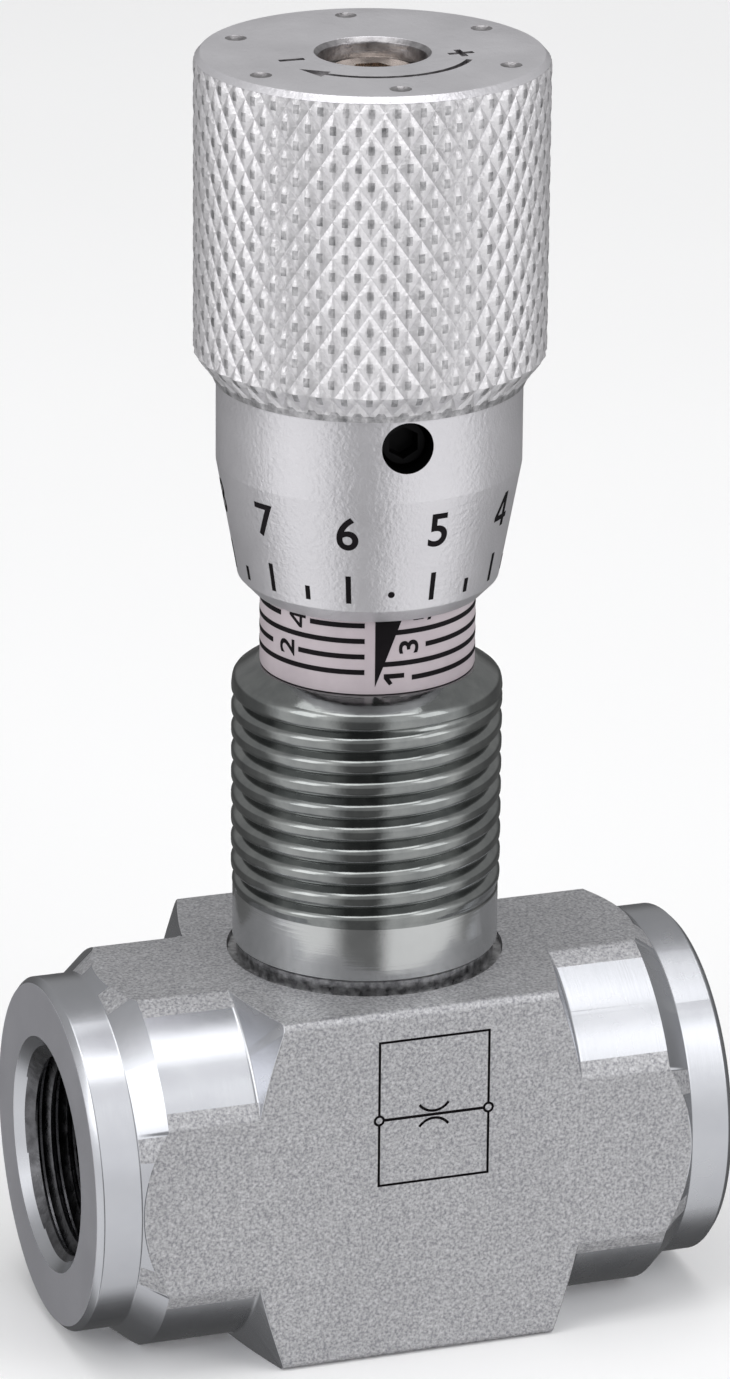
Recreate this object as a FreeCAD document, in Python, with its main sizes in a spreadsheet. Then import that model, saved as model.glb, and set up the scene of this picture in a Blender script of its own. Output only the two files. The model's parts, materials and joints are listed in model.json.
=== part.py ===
import FreeCAD, Part

# In-line throttle valve with a needle spindle and a numbered turning knob.
# +Z runs up the spindle, X along the two ports, and the origin is the middle of the block's underside.
# Heights in the sheet are measured from the port axis. Everything that turns with the knob is drawn
# with the valve closed, and its Placement lifts and turns it to the opening it is shown at.

import math
import os

import Sketcher

doc = FreeCAD.newDocument("flow_control_valve")

SIZES = {
    # block and turned ends
    "port_height": 14.5,
    "half_length": 26.0,
    "half_width": 14.0,
    "collar_radius": 13.9,
    "collar_start": 22.5,
    "collar_edge": 0.5,
    "turned_radius": 15.6,
    "turned_end": 20.4,
    "turned_start": 13.1,
    "corner_start": 10.15,
    "bar_clear": 22.0,
    # ports, G3/8
    "port_minor_radius": 7.475,
    "port_mouth_radius": 9.3,
    "port_mouth_depth": 1.6,
    "port_depth": 13.0,
    "port_drill_tip": 1.2,
    # passages between the ports and the two chambers
    "passage_radius": 2.4,
    "inlet_passage_drop": 5.0,
    "outlet_passage_rise": 4.5,
    # neck, G1/2 outside thread
    "neck_radius": 10.4775,
    "neck_band_radius": 10.35,
    "neck_relief_radius": 10.1,
    "neck_relief_end": 15.35,
    "neck_relief_edge": 0.25,
    "neck_ring_radius": 10.8,
    "neck_ring_depth": 0.35,
    "neck_thread_start": 19.8,
    "neck_thread_end": 37.2,
    "shoulder_radius": 8.6,
    "shoulder_level": 38.2,
    # spigot
    "sleeve_seat_radius": 7.9,
    "sleeve_seat_end": 50.6,
    "spigot_radius": 7.2,
    "spigot_top": 66.0,
    "spigot_edge": 0.4,
    # stem bore
    "stem_thread_radius": 5.0,
    "stem_thread_start": 26.0,
    "seal_bore_radius": 4.3,
    "lower_chamber_radius": 3.0,
    "lower_chamber_floor": 9.6,
    "seat_level": 1.0,
    "seat_depth": 3.0,
    "orifice_radius": 2.4,
    "seat_chamfer": 0.3,
    "stop_ring_level": 63.45,
    "stop_ring_groove": 1.0,
    "stop_ring_groove_radius": 5.5,
    # spindle, closed
    "needle_tip_radius": 0.7,
    "needle_tip_drop": 8.0,
    "needle_seat_radius": 2.3,
    "needle_seat_rise": 0.68,
    "needle_stem_radius": 3.0,
    "piston_start": 8.5,
    "piston_end": 14.5,
    "piston_radius": 4.25,
    "seal_groove_start": 10.2,
    "seal_groove_width": 2.8,
    "seal_groove_radius": 2.75,
    "spindle_neck_radius": 3.6,
    "spindle_thread_start": 39.4,
    "spindle_thread_end": 53.35,
    "spindle_thread_radius": 4.95,
    "shank_radius": 4.2,
    "square_width": 5.9,
    "square_start": 66.3,
    "square_end": 72.6,
    "screw_hole_radius": 2.0,
    "screw_hole_depth": 8.5,
    # seals
    "o_ring_radius": 3.52,
    "o_ring_section": 0.72,
    "backup_inner_radius": 2.8,
    "backup_thickness": 1.0,
    "seal_gap": 0.1,
    # sleeve and stop ring
    "sleeve_radius": 8.3,
    "sleeve_start": 38.25,
    "sleeve_end": 50.4,
    "stop_ring_thickness": 0.9,
    "stop_ring_inner_radius": 4.5,
    "stop_ring_opening": 4.0,
    # knob, closed
    "rim_level": 38.6,
    "rim_radius": 8.9,
    "rim_slope_level": 39.8,
    "rim_slope_radius": 10.05,
    "skirt_level": 48.9,
    "skirt_radius": 11.7,
    "grip_slope_level": 55.3,
    "grip_level": 57.6,
    "grip_radius": 13.45,
    "grip_top": 80.2,
    "knob_top": 80.7,
    "knob_edge": 0.5,
    "knob_bore_radius": 8.65,
    "hub_level": 66.6,
    "shelf_level": 72.7,
    "recess_floor": 74.5,
    "recess_radius": 4.1,
    "recess_edge": 0.35,
    "square_gap": 0.05,
    "screw_clearance_radius": 2.2,
    # knob screw and washer
    "screw_head_radius": 3.5,
    "screw_head_height": 4.0,
    "screw_head_edge": 0.35,
    "screw_radius": 1.95,
    "screw_length": 9.0,
    "screw_hex": 3.0,
    "screw_hex_depth": 2.4,
    "washer_outer_radius": 3.6,
    "washer_inner_radius": 2.15,
    "washer_thickness": 0.9,
    "washer_split": 0.6,
    # lock screw and pad, along the radial hole
    "lock_level": 53.2,
    "lock_hole_radius": 2.0,
    "pad_radius": 1.9,
    "pad_start": 7.5,
    "pad_end": 8.4,
    "lock_screw_radius": 1.95,
    "lock_screw_end": 10.2,
    "lock_hex": 2.2,
    "lock_hex_depth": 1.4,
    "lock_screw_edge": 0.3,
    # motion
    "stem_pitch": 1.25,
    "turns_open": 4.574,
    "lock_angle": -94.5,
}


class Size:
    """A length of the sheet: its number, and the expression that binds a property to it."""

    def __init__(self, value, text):
        self.value = value
        self.text = text

    def join(self, sign, other):
        if not isinstance(other, Size):
            other = Size(float(other), str(float(other)))
        change = {"+": other.value, "-": -other.value}[sign]
        return Size(self.value + change, f"({self.text} {sign} {other.text})")

    def __add__(self, other):
        return self.join("+", other)

    def __sub__(self, other):
        return self.join("-", other)

    def __mul__(self, factor):
        return Size(self.value * factor, f"({self.text} * {factor})")

    def __neg__(self):
        return Size(-self.value, f"(0 - {self.text})")


def write_sheet():
    sheet = doc.addObject("Spreadsheet::Sheet", "Sizes")
    for row, (alias, value) in enumerate(SIZES.items(), 1):
        sheet.set(f"A{row}", alias)
        sheet.set(f"B{row}", str(value))
        sheet.setAlias(f"B{row}", alias)
    doc.recompute()


def size(alias):
    return Size(SIZES[alias], f"Sizes.{alias}")


OVERCUT = 1.0
ZERO = Size(0.0, "0")
RISE = Size(SIZES["turns_open"] * SIZES["stem_pitch"], "(Sizes.turns_open * Sizes.stem_pitch)")


def add_body(label, lift=ZERO, turned=False):
    """An empty body on the port axis, raised by lift; a turned one follows the knob's angle."""
    body = doc.addObject("PartDesign::Body", label)
    body.Label = label
    body.setExpression("Placement.Base.z", (size("port_height") + lift).text)
    if turned:
        body.setExpression("Placement.Rotation.Angle", "Sizes.lock_angle + 90")
    return body


def origin_plane(body, role):
    return next(f for f in body.Origin.OriginFeatures if f.Role == role)


def add_sketch(body, name, role):
    sketch = body.newObject("Sketcher::SketchObject", name)
    sketch.AttachmentSupport = [(origin_plane(body, role), "")]
    sketch.MapMode = "FlatFace"
    return sketch


def bind(sketch, kind, geometry, point, length):
    """Fixes one coordinate of a point from the sketch's origin; a negative one is measured backwards."""
    if abs(length.value) < 1e-9:
        axis = -2 if kind == "DistanceX" else -1
        sketch.addConstraint(Sketcher.Constraint("PointOnObject", geometry, point, axis))
        return
    if length.value > 0:
        constraint = Sketcher.Constraint(kind, -1, 1, geometry, point, length.value)
        text = length.text
    else:
        constraint = Sketcher.Constraint(kind, geometry, point, -1, 1, -length.value)
        text = (-length).text
    index = sketch.addConstraint(constraint)
    sketch.setExpression(f"Constraints[{index}]", text)


def outline(body, name, role, points):
    """A closed outline of straight edges through points, each a pair of sizes."""
    sketch = add_sketch(body, name, role)
    corners = [FreeCAD.Vector(a.value, b.value, 0) for a, b in points]
    count = len(corners)
    for i in range(count):
        sketch.addGeometry(Part.LineSegment(corners[i], corners[(i + 1) % count]), False)
    for i in range(count):
        sketch.addConstraint(Sketcher.Constraint("Coincident", i, 2, (i + 1) % count, 1))
    for i, (across, along) in enumerate(points):
        bind(sketch, "DistanceX", i, 1, across)
        bind(sketch, "DistanceY", i, 1, along)
    return sketch


def raise_sketch(sketch, level):
    """Lifts a sketch of the XY plane to a level."""
    doc.recompute()
    sketch.AttachmentOffset = FreeCAD.Placement(FreeCAD.Vector(0, 0, level.value), FreeCAD.Rotation())
    sketch.setExpression("AttachmentOffset.Base.z", level.text)


def circle(body, name, role, across, along, radius):
    sketch = add_sketch(body, name, role)
    centre = FreeCAD.Vector(across.value, along.value, 0)
    sketch.addGeometry(Part.Circle(centre, FreeCAD.Vector(0, 0, 1), radius.value), False)
    bind(sketch, "DistanceX", 0, 3, across)
    bind(sketch, "DistanceY", 0, 3, along)
    index = sketch.addConstraint(Sketcher.Constraint("Radius", 0, radius.value))
    sketch.setExpression(f"Constraints[{index}]", radius.text)
    return sketch


def rectangle(body, name, role, half_across, half_along):
    low = -half_along
    points = [
        (-half_across, low),
        (half_across, low),
        (half_across, half_along),
        (-half_across, half_along),
    ]
    return outline(body, name, role, points)


def hexagon(body, name, role, across_flats):
    """A hexagon of that width across flats, with its corners along the sketch's first axis."""
    corner = across_flats * (1 / math.sqrt(3))
    flat = across_flats * 0.5
    half_corner = corner * 0.5
    points = [
        (corner, ZERO),
        (half_corner, flat),
        (-half_corner, flat),
        (-corner, ZERO),
        (-half_corner, -flat),
        (half_corner, -flat),
    ]
    return outline(body, name, role, points)


def turn(body, kind, name, sketch, axis):
    """A Revolution or Groove of a full turn about the sketch's own axis."""
    feature = body.newObject(f"PartDesign::{kind}", name)
    feature.Profile = sketch
    feature.ReferenceAxis = (sketch, [axis])
    feature.Angle = 360
    return feature


def extrude(body, kind, name, sketch, length, both=False, reversed_side=False):
    feature = body.newObject(f"PartDesign::{kind}", name)
    feature.Profile = sketch
    feature.SideType = "Symmetric" if both else "One side"
    feature.Reversed = reversed_side
    feature.setExpression("Length", length.text)
    return feature


def mirror(body, name, feature, role):
    """Repeats a feature on the other side of one of the body's origin planes."""
    copy = body.newObject("PartDesign::Mirrored", name)
    copy.Originals = [feature]
    copy.MirrorPlane = (origin_plane(body, role), [""])
    body.Tip = copy
    return copy


def valve_body():
    """Square bar with turned ends, threaded ports, panel neck and spigot, all in one piece."""
    body = add_body("valve_body")
    bar = rectangle(body, "bar_section", "YZ_Plane", size("half_width"), size("port_height"))
    extrude(body, "Pad", "bar", bar, size("half_length") * 2, both=True)

    end = [
        (size("corner_start"), size("bar_clear")),
        (size("turned_start"), size("turned_radius")),
        (size("turned_end"), size("turned_radius")),
        (size("collar_start"), size("collar_radius")),
        (size("half_length") - size("collar_edge"), size("collar_radius")),
        (size("half_length"), size("collar_radius") - size("collar_edge")),
        (size("half_length") + OVERCUT, size("collar_radius") - size("collar_edge")),
        (size("half_length") + OVERCUT, size("bar_clear")),
    ]
    turned = turn(body, "Groove", "turned_end", outline(body, "end_outline", "XZ_Plane", end), "H_Axis")
    mirror(body, "other_turned_end", turned, "YZ_Plane")

    neck = [
        (ZERO, ZERO),
        (size("neck_relief_radius"), ZERO),
        (size("neck_relief_radius"), size("neck_relief_end")),
        (size("neck_band_radius"), size("neck_relief_end") + size("neck_relief_edge")),
        (size("neck_band_radius"), size("neck_thread_start")),
        (size("neck_radius"), size("neck_thread_start")),
        (size("neck_radius"), size("neck_thread_end")),
        (size("shoulder_radius"), size("shoulder_level")),
        (size("sleeve_seat_radius"), size("shoulder_level")),
        (size("sleeve_seat_radius"), size("sleeve_seat_end")),
        (size("spigot_radius"), size("sleeve_seat_end")),
        (size("spigot_radius"), size("spigot_top") - size("spigot_edge")),
        (size("spigot_radius") - size("spigot_edge"), size("spigot_top")),
        (ZERO, size("spigot_top")),
    ]
    turn(body, "Revolution", "neck", outline(body, "neck_outline", "XZ_Plane", neck), "V_Axis")

    ring_floor = size("port_height") - size("neck_ring_depth")
    ring = [
        (size("neck_band_radius"), ring_floor),
        (size("neck_ring_radius"), ring_floor),
        (size("neck_ring_radius"), size("port_height") + OVERCUT),
        (size("neck_band_radius"), size("port_height") + OVERCUT),
    ]
    turn(body, "Groove", "neck_ring", outline(body, "ring_outline", "XZ_Plane", ring), "V_Axis")

    groove_top = size("stop_ring_level") + size("stop_ring_groove")
    bore = [
        (ZERO, -size("lower_chamber_floor")),
        (size("lower_chamber_radius"), -size("lower_chamber_floor")),
        (size("lower_chamber_radius"), size("seat_level") - size("seat_depth")),
        (size("seal_bore_radius"), size("seat_level") - size("seat_depth")),
        (size("seal_bore_radius"), size("stem_thread_start")),
        (size("stem_thread_radius"), size("stem_thread_start")),
        (size("stem_thread_radius"), size("stop_ring_level")),
        (size("stop_ring_groove_radius"), size("stop_ring_level")),
        (size("stop_ring_groove_radius"), groove_top),
        (size("stem_thread_radius"), groove_top),
        (size("stem_thread_radius"), size("spigot_top") + OVERCUT),
        (ZERO, size("spigot_top") + OVERCUT),
    ]
    turn(body, "Groove", "stem_bore", outline(body, "bore_outline", "XZ_Plane", bore), "V_Axis")

    bottom = size("half_length") - size("port_depth")
    port = [
        (bottom - size("port_drill_tip"), ZERO),
        (bottom, size("port_minor_radius")),
        (size("half_length") - size("port_mouth_depth"), size("port_minor_radius")),
        (size("half_length"), size("port_mouth_radius")),
        (size("half_length") + OVERCUT, size("port_mouth_radius")),
        (size("half_length") + OVERCUT, ZERO),
    ]
    drilled = turn(body, "Groove", "port", outline(body, "port_outline", "XZ_Plane", port), "H_Axis")
    mirror(body, "other_port", drilled, "YZ_Plane")

    radius = size("passage_radius")
    inlet = circle(body, "inlet_section", "YZ_Plane", ZERO, -size("inlet_passage_drop"), radius)
    extrude(body, "Pocket", "inlet_passage", inlet, bottom)
    outlet = circle(body, "outlet_section", "YZ_Plane", ZERO, size("outlet_passage_rise"), radius)
    extrude(body, "Pocket", "outlet_passage", outlet, bottom, reversed_side=True)
    return body


def seat_ring():
    """Hardened ring on the bore's step; its chamfered edge is the throttling edge."""
    body = add_body("seat_ring")
    top = size("seat_level")
    section = [
        (size("orifice_radius"), top - size("seat_depth")),
        (size("seal_bore_radius"), top - size("seat_depth")),
        (size("seal_bore_radius"), top),
        (size("orifice_radius") + size("seat_chamfer"), top),
        (size("orifice_radius"), top - size("seat_chamfer")),
    ]
    turn(body, "Revolution", "seat", outline(body, "seat_section", "XZ_Plane", section), "V_Axis")
    return body


def scale_sleeve():
    body = add_body("scale_sleeve")
    section = [
        (size("sleeve_seat_radius"), size("sleeve_start")),
        (size("sleeve_radius"), size("sleeve_start")),
        (size("sleeve_radius"), size("sleeve_end")),
        (size("sleeve_seat_radius"), size("sleeve_end")),
    ]
    turn(body, "Revolution", "sleeve", outline(body, "sleeve_section", "XZ_Plane", section), "V_Axis")
    return body


def retaining_ring():
    """Internal circlip: an open ring in the spigot's groove."""
    body = add_body("retaining_ring")
    low = size("stop_ring_level") + size("seal_gap") * 0.5
    high = low + size("stop_ring_thickness")
    section = [
        (size("stop_ring_inner_radius"), low),
        (size("stop_ring_groove_radius"), low),
        (size("stop_ring_groove_radius"), high),
        (size("stop_ring_inner_radius"), high),
    ]
    turn(body, "Revolution", "ring", outline(body, "ring_section", "XZ_Plane", section), "V_Axis")
    half = size("stop_ring_opening") * 0.5
    outside = -(size("stop_ring_groove_radius") + OVERCUT)
    gap = [(-half, outside), (half, outside), (half, ZERO), (-half, ZERO)]
    opening = outline(body, "gap", "XY_Plane", gap)
    extrude(body, "Pocket", "opening", opening, high + OVERCUT, reversed_side=True)
    return body


def spindle():
    """Needle, seal piston, thread and square drive, turned from one bar."""
    body = add_body("spindle", RISE, turned=True)
    groove_end = size("seal_groove_start") + size("seal_groove_width")
    cone = size("needle_stem_radius") - size("needle_seat_radius")
    outer = [
        (ZERO, -size("needle_tip_drop")),
        (size("needle_tip_radius"), -size("needle_tip_drop")),
        (size("needle_seat_radius"), size("needle_seat_rise")),
        (size("needle_stem_radius"), size("needle_seat_rise") + cone),
        (size("needle_stem_radius"), size("piston_start")),
        (size("piston_radius"), size("piston_start")),
        (size("piston_radius"), size("seal_groove_start")),
        (size("seal_groove_radius"), size("seal_groove_start")),
        (size("seal_groove_radius"), groove_end),
        (size("piston_radius"), groove_end),
        (size("piston_radius"), size("piston_end")),
        (size("spindle_neck_radius"), size("piston_end")),
        (size("spindle_neck_radius"), size("spindle_thread_start")),
        (size("spindle_thread_radius"), size("spindle_thread_start")),
        (size("spindle_thread_radius"), size("spindle_thread_end")),
        (size("shank_radius"), size("spindle_thread_end")),
        (size("shank_radius"), size("square_start")),
        (ZERO, size("square_start")),
    ]
    turn(body, "Revolution", "needle", outline(body, "needle_outline", "XZ_Plane", outer), "V_Axis")
    half = size("square_width") * 0.5
    square = rectangle(body, "square_section", "XY_Plane", half, half)
    raise_sketch(square, size("square_start"))
    extrude(body, "Pad", "square_drive", square, size("square_end") - size("square_start"))
    hole = [
        (ZERO, size("square_end") - size("screw_hole_depth")),
        (size("screw_hole_radius"), size("square_end") - size("screw_hole_depth")),
        (size("screw_hole_radius"), size("square_end") + OVERCUT),
        (ZERO, size("square_end") + OVERCUT),
    ]
    turn(body, "Groove", "screw_hole", outline(body, "hole_outline", "XZ_Plane", hole), "V_Axis")
    return body


def backup_ring():
    body = add_body("backup_ring", RISE)
    high = size("seal_groove_start") + size("seal_groove_width") - size("seal_gap")
    low = high - size("backup_thickness")
    section = [
        (size("backup_inner_radius"), low),
        (size("piston_radius"), low),
        (size("piston_radius"), high),
        (size("backup_inner_radius"), high),
    ]
    turn(body, "Revolution", "backup", outline(body, "backup_section", "XZ_Plane", section), "V_Axis")
    return body


def spindle_o_ring():
    ring = doc.addObject("Part::Torus", "spindle_o_ring")
    ring.Label = "spindle_o_ring"
    ring.setExpression("Radius1", size("o_ring_radius").text)
    ring.setExpression("Radius2", size("o_ring_section").text)
    low = size("seal_groove_start") + size("seal_gap") + size("o_ring_section")
    ring.setExpression("Placement.Base.z", (size("port_height") + RISE + low).text)
    return ring


def knob():
    """Hollow grip over the spigot, with a numbered taper at its foot and a hub for the square drive."""
    body = add_body("knob", RISE, turned=True)
    edge = size("knob_edge")
    outer = [
        (size("knob_bore_radius"), size("rim_level")),
        (size("rim_radius"), size("rim_level")),
        (size("rim_slope_radius"), size("rim_slope_level")),
        (size("skirt_radius"), size("skirt_level")),
        (size("skirt_radius"), size("grip_slope_level")),
        (size("grip_radius"), size("grip_level")),
        (size("grip_radius"), size("grip_top")),
        (size("grip_radius") - edge, size("knob_top")),
        (size("recess_radius") + size("recess_edge"), size("knob_top")),
        (size("recess_radius"), size("knob_top") - size("recess_edge")),
        (size("recess_radius"), size("recess_floor")),
        (size("screw_clearance_radius"), size("recess_floor")),
        (size("screw_clearance_radius"), size("hub_level")),
        (size("knob_bore_radius"), size("hub_level")),
    ]
    turn(body, "Revolution", "shell", outline(body, "shell_outline", "XZ_Plane", outer), "V_Axis")
    half = size("square_width") * 0.5 + size("square_gap")
    square = rectangle(body, "broach_section", "XY_Plane", half, half)
    extrude(body, "Pocket", "square_hole", square, size("shelf_level"), reversed_side=True)
    hole = circle(body, "lock_section", "XZ_Plane", ZERO, size("lock_level"), size("lock_hole_radius"))
    extrude(body, "Pocket", "lock_hole", hole, size("grip_radius"), reversed_side=True)
    return body


def knob_screw():
    """Socket head screw that clamps the knob's shelf to the top of the square drive."""
    body = add_body("knob_screw", RISE, turned=True)
    seat = size("recess_floor") + size("washer_thickness")
    top = seat + size("screw_head_height")
    edge = size("screw_head_edge")
    outer = [
        (ZERO, seat - size("screw_length")),
        (size("screw_radius") - edge, seat - size("screw_length")),
        (size("screw_radius"), seat - size("screw_length") + edge),
        (size("screw_radius"), seat),
        (size("screw_head_radius"), seat),
        (size("screw_head_radius"), top - edge),
        (size("screw_head_radius") - edge, top),
        (ZERO, top),
    ]
    turn(body, "Revolution", "head_and_shank", outline(body, "screw_outline", "XZ_Plane", outer), "V_Axis")
    socket = hexagon(body, "socket_section", "XY_Plane", size("screw_hex"))
    raise_sketch(socket, top)
    extrude(body, "Pocket", "socket", socket, size("screw_hex_depth"))
    return body


def knob_washer():
    """Split lock washer under the screw's head."""
    body = add_body("knob_washer", RISE, turned=True)
    low, high = size("recess_floor"), size("recess_floor") + size("washer_thickness")
    section = [
        (size("washer_inner_radius"), low),
        (size("washer_outer_radius"), low),
        (size("washer_outer_radius"), high),
        (size("washer_inner_radius"), high),
    ]
    turn(body, "Revolution", "washer", outline(body, "washer_section", "XZ_Plane", section), "V_Axis")
    half = size("washer_split") * 0.5
    outside = size("washer_outer_radius") + OVERCUT
    split = [(ZERO, -half), (outside, -half), (outside, half), (ZERO, half)]
    cut = outline(body, "split_outline", "XY_Plane", split)
    extrude(body, "Pocket", "split", cut, high + OVERCUT, reversed_side=True)
    return body


def radial_piece(label, start, end, radius, edge):
    """A short round piece in the lock hole: its own Z axis points out of the hole."""
    body = doc.addObject("PartDesign::Body", label)
    body.Label = label
    section = [
        (ZERO, start),
        (radius - edge, start),
        (radius, start + edge),
        (radius, end - edge),
        (radius - edge, end),
        (ZERO, end),
    ]
    blank = outline(body, f"{label}_outline", "XZ_Plane", section)
    turn(body, "Revolution", f"{label}_blank", blank, "V_Axis")
    facing = FreeCAD.Rotation(FreeCAD.Vector(0, 0, 1), SIZES["lock_angle"])
    tipped = FreeCAD.Rotation(FreeCAD.Vector(0, 1, 0), 90)
    body.Placement = FreeCAD.Placement(FreeCAD.Vector(0, 0, 0), facing.multiply(tipped))
    body.setExpression("Placement.Base.z", (size("port_height") + RISE + size("lock_level")).text)
    return body


def lock_pad():
    edge = size("seal_gap")
    return radial_piece("lock_pad", size("pad_start"), size("pad_end"), size("pad_radius"), edge)


def lock_screw():
    end = size("lock_screw_end")
    edge = size("lock_screw_edge")
    body = radial_piece("lock_screw", size("pad_end"), end, size("lock_screw_radius"), edge)
    socket = hexagon(body, "lock_socket_section", "XY_Plane", size("lock_hex"))
    raise_sketch(socket, end)
    extrude(body, "Pocket", "lock_socket", socket, size("lock_hex_depth"))
    return body


def check_and_write(parts):
    doc.recompute()
    for item in doc.Objects:
        if "Invalid" in item.State or "Error" in item.State:
            raise RuntimeError(f"{item.Name} failed: {item.State}")
    os.makedirs("parts", exist_ok=True)
    for part in parts:
        if part.Shape.isNull() or not part.Shape.isValid() or len(part.Shape.Solids) != 1:
            raise RuntimeError(f"{part.Label} is not one valid solid")
        part.Shape.exportStep(f"parts/{part.Label}.step")
        print(f"{part.Label:16s} {part.Shape.Volume:10.2f} mm3")


write_sheet()
check_and_write(
    [
        valve_body(),
        seat_ring(),
        scale_sleeve(),
        retaining_ring(),
        spindle(),
        spindle_o_ring(),
        backup_ring(),
        knob(),
        knob_screw(),
        knob_washer(),
        lock_pad(),
        lock_screw(),
    ]
)
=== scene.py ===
import json
import math

import bpy
import bmesh
import numpy as np
from mathutils import Matrix, Vector


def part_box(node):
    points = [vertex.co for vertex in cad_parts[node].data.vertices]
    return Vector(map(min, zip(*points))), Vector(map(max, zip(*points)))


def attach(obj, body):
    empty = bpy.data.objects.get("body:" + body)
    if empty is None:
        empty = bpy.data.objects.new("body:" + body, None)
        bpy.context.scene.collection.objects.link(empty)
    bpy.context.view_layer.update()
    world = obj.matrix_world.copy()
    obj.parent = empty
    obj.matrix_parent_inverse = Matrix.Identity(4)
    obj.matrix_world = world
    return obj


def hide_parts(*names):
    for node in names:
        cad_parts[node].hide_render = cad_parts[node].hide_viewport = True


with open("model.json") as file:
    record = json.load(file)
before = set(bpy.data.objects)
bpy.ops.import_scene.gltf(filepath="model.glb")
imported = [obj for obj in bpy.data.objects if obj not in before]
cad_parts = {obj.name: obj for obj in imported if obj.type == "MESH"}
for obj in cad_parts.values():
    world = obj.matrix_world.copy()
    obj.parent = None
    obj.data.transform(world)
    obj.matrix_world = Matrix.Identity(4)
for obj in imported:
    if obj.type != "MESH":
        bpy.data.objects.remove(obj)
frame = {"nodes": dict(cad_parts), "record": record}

MM = 0.001
TAU = 2 * math.pi
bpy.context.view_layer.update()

# Levels are in millimetres above the port axis, as in the CAD model.
PORT_HEIGHT = next(m for m in frame["record"]["mounts"] if m["name"] == "port_outlet")["pos_m"][2] / MM
HALF_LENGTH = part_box("valve_body")[1].x / MM
HALF_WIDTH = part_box("valve_body")[1].y / MM
SPIGOT_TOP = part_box("valve_body")[1].z / MM - PORT_HEIGHT
# The knob's own levels are those of the closed knob, and KNOB_LIFT raises it to where it is at rest.
KNOB_TOP_CLOSED = 80.7
KNOB_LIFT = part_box("knob")[1].z / MM - PORT_HEIGHT - KNOB_TOP_CLOSED
# Directions round the knob's axis, in degrees: the sleeve's seam, and the way to the camera.
SEAM_ANGLE = -107.9
FACING = -109.07


# ---------------------------------------------------------------- materials

def new_material(name):
    material = bpy.data.materials.new(name)
    material.use_nodes = True
    nodes = material.node_tree.nodes
    nodes.clear()
    output = nodes.new("ShaderNodeOutputMaterial")
    shader = nodes.new("ShaderNodeBsdfPrincipled")
    material.node_tree.links.new(shader.outputs["BSDF"], output.inputs["Surface"])
    return material, shader


class Graph:
    """Short names for building a material's node tree."""

    def __init__(self, material):
        self.tree = material.node_tree
        self.place = self.add("ShaderNodeTexCoord").outputs["Object"]

    def add(self, kind, **settings):
        node = self.tree.nodes.new(kind)
        for key, value in settings.items():
            setattr(node, key, value)
        return node

    def link(self, a, b):
        self.tree.links.new(a, b)

    def stretched(self, scale):
        mapping = self.add("ShaderNodeMapping")
        mapping.inputs["Scale"].default_value = scale
        self.link(self.place, mapping.inputs["Vector"])
        return mapping.outputs["Vector"]

    def noise(self, scale, detail=3.0, roughness=0.55, stretch=None):
        node = self.add("ShaderNodeTexNoise")
        node.inputs["Scale"].default_value = scale
        node.inputs["Detail"].default_value = detail
        node.inputs["Roughness"].default_value = roughness
        self.link(self.stretched(stretch) if stretch else self.place, node.inputs["Vector"])
        return node.outputs["Fac"]

    def ramp(self, value, stops):
        node = self.add("ShaderNodeValToRGB")
        elements = node.color_ramp.elements
        while len(elements) < len(stops):
            elements.new(0.5)
        for element, (position, colour) in zip(elements, stops):
            element.position = position
            element.color = (*colour, 1)
        self.link(value, node.inputs["Fac"])
        return node.outputs["Color"]

    def range(self, value, low, high, start=0.3, end=0.7):
        node = self.add("ShaderNodeMapRange")
        node.inputs["From Min"].default_value = start
        node.inputs["From Max"].default_value = end
        node.inputs["To Min"].default_value = low
        node.inputs["To Max"].default_value = high
        self.link(value, node.inputs["Value"])
        return node.outputs["Result"]

    def maths(self, operation, a, b):
        node = self.add("ShaderNodeMath", operation=operation)
        for socket, value in zip(node.inputs, (a, b)):
            if isinstance(value, (int, float)):
                socket.default_value = value
            else:
                self.link(value, socket)
        return node.outputs["Value"]

    def bump(self, height, distance, below=None):
        node = self.add("ShaderNodeBump")
        node.inputs["Distance"].default_value = distance
        self.link(height, node.inputs["Height"])
        if below is not None:
            self.link(below, node.inputs["Normal"])
        return node.outputs["Normal"]


def metal(name, dark, light, rough, grain=900.0, grain_height=0.00001, blotch=120.0, lines=None,
          lines_height=0.0, speckle=None, metallic=1.0):
    """A metal whose colour and roughness wander, with a fine grain and, where it was turned, tool lines.

    grain, blotch and lines are noise scales per metre, and the heights are in metres.
    """
    material, shader = new_material(name)
    g = Graph(material)
    patches = g.noise(blotch, 4.0, 0.6)
    colour = g.ramp(patches, [(0.3, dark), (0.7, light)])
    if speckle:
        fine = g.noise(speckle["scale"], 2.0, 0.7)
        dots = g.ramp(fine, [(0.32, speckle["dark"]), (0.5, (1, 1, 1)), (0.72, speckle["light"])])
        mix = g.add("ShaderNodeMix", data_type="RGBA", blend_type="MULTIPLY")
        mix.inputs["Factor"].default_value = 1.0
        g.link(colour, mix.inputs["A"])
        g.link(dots, mix.inputs["B"])
        colour = mix.outputs["Result"]
    g.link(colour, shader.inputs["Base Color"])
    shader.inputs["Metallic"].default_value = metallic
    grains = g.noise(grain, 2.0, 0.6)
    g.link(g.range(patches, rough[0], rough[1]), shader.inputs["Roughness"])
    normal = g.bump(grains, grain_height)
    if lines:
        streaks = g.noise(1.0, 2.0, 0.7, stretch=lines)
        normal = g.bump(streaks, lines_height, below=normal)
    g.link(normal, shader.inputs["Normal"])
    return material


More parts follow.
